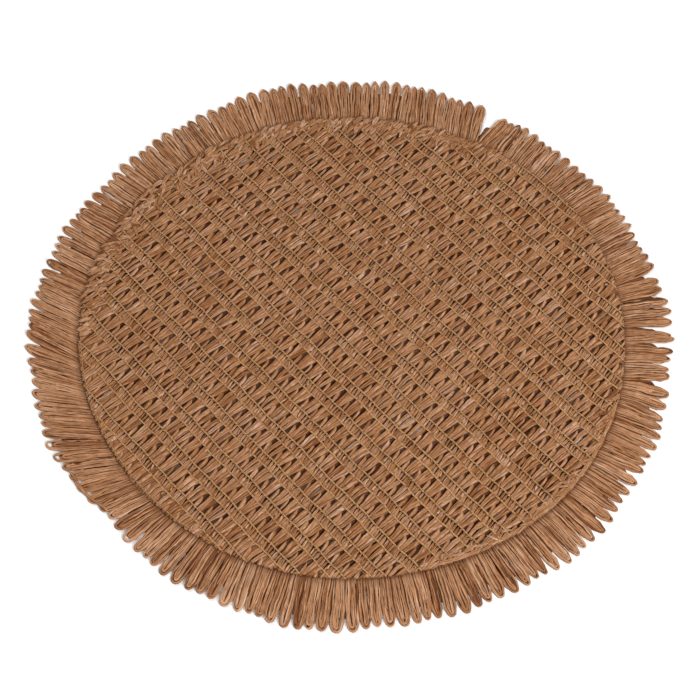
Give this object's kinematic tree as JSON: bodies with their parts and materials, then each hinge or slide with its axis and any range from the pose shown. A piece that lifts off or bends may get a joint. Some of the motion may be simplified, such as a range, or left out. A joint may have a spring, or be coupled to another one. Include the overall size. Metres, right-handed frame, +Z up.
{
  "type": "placemat",
  "caption": "Round table mat woven from paper cord, with stitched rows, a turned hem and a looped fringe all round.",
  "frame": {"origin": "middle of the underside of the whole mat, on the table", "axes": "+Z up out of the mat; +Y away from the camera of the picture, +X to its right"},
  "size_m": [0.4222, 0.4226, 0.0027],
  "materials": {
    "paper_weave": "flat folded paper strips woven through stitched rows, matt tan, with gaps between the strips",
    "paper_fringe": "crinkled paper cord in flat loops, matt tan with a slight sheen along the creases"
  },
  "bodies": {
    "root": {"woven_disc": "paper_weave", "looped_fringe": "paper_fringe"}
  },
  "joints": []
}
